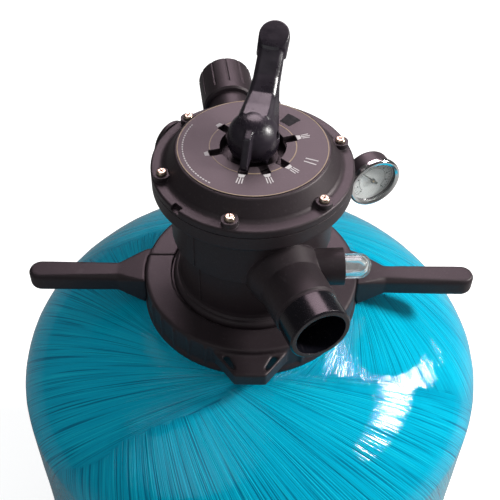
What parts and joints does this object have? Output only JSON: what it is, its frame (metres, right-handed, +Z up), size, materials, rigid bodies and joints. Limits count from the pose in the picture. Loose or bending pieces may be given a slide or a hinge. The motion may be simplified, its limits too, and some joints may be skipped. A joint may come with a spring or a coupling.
{
  "type": "sand filter tank",
  "caption": "Bobbin-wound sand filter tank on a round foot, with a lever-operated multiport selector valve, lock ring with handles, gauge and sight glass on top.",
  "frame": {"origin": "centre of the foot's underside, on the floor", "axes": "+Z up along the tank's axis; -Y is the side with the drain and, turned 23 degrees, the front port; the lock ring's handles lie along X"},
  "size_m": [0.5219, 0.5712, 0.8756],
  "materials": {
    "wound_shell": "glossy clear resin over wound fibre",
    "black_plastic": "satin moulded ABS",
    "lever_plastic": "polished moulded nylon",
    "port_plastic": "semi-gloss PVC",
    "white_plastic": "plain moulded ABS",
    "seal_rubber": "EPDM",
    "steel": "stainless",
    "screw_metal": "zinc-yellow passivated",
    "label_film": "printed polycarbonate film",
    "clear_plastic": "clear polycarbonate",
    "gauge_chrome": "polished",
    "gauge_black": "black enamel",
    "gauge_white": "off-white enamel",
    "gauge_brass": "machined",
    "needle_paint": "black enamel"
  },
  "bodies": {
    "tank": {"tank_shell": "wound_shell", "neck_insert": "black_plastic", "foot": "black_plastic", "drain_fitting": "black_plastic", "drain_nut": "black_plastic", "drain_oring": "seal_rubber", "standpipe": "white_plastic", "lateral_hub": "white_plastic", "laterals": "white_plastic", "diffuser": "white_plastic", "neck_oring": "seal_rubber"},
    "drain_cap": {"drain_cap": "black_plastic"},
    "lock_ring": {"lock_ring_front": "black_plastic", "lock_ring_rear": "black_plastic", "lock_ring_bolts": "steel"},
    "valve": {"valve_body": "black_plastic", "standpipe_oring": "seal_rubber", "spider_gasket": "seal_rubber", "stem_oring": "seal_rubber", "lid": "black_plastic", "lid_oring": "seal_rubber", "lid_screws": "screw_metal", "label_plate": "label_film", "sight_glass": "clear_plastic", "sight_oring": "seal_rubber", "front_adapter": "port_plastic", "front_oring": "seal_rubber", "rear_nipple": "black_plastic", "rear_coupling": "black_plastic", "rear_oring": "seal_rubber", "port_plug": "black_plastic", "plug_oring": "seal_rubber", "gauge_stem": "gauge_brass", "gauge_case": "gauge_black", "gauge_bezel": "gauge_chrome", "gauge_dial": "gauge_white", "bourdon_tube": "gauge_brass", "gauge_lens": "clear_plastic"},
    "selector": {"lever_washer": "black_plastic", "spring_washer": "steel", "spring": "steel"},
    "stem": {"rotor": "white_plastic", "lever_pin": "steel"},
    "lever": {"lever": "lever_plastic"},
    "needle": {"gauge_needle": "needle_paint", "gauge_spindle": "gauge_brass"}
  },
  "joints": [
    {"name": "valve_swivel", "type": "hinge", "parent": "tank", "child": "valve", "pos_m": [0, 0, 0.617], "axis": [0, 0, 1], "continuous": true},
    {"name": "lock_ring_turn", "type": "hinge", "parent": "tank", "child": "lock_ring", "pos_m": [0, 0, 0.617], "axis": [0, 0, 1], "range_deg": [0, 60]},
    {"name": "selector_turn", "type": "hinge", "parent": "valve", "child": "selector", "pos_m": [0, 0, 0.78], "axis": [0, 0, 1], "continuous": true},
    {"name": "stem_lift", "type": "slide", "parent": "selector", "child": "stem", "axis": [0, 0, 1], "range_m": [0, 0.006], "deforming": ["spring"]},
    {"name": "lever_press", "type": "hinge", "parent": "stem", "child": "lever", "pos_m": [0, 0, 0.814], "axis": [-0.9744, 0.225, 0], "range_deg": [0, 30]},
    {"name": "needle_turn", "type": "hinge", "parent": "valve", "child": "needle", "pos_m": [0.12151, 0.05158, 0.7185], "axis": [-0.3907, 0.9205, 0], "range_deg": [0, 270]},
    {"name": "drain_cap_turn", "type": "hinge", "parent": "tank", "child": "drain_cap", "pos_m": [0, -0.29, 0.19], "axis": [0, -1, 0], "continuous": true}
  ],
  "couplings": [
    {"joint": "stem_lift", "follows": "lever_press", "m_per_rad": 0.011459}
  ]
}
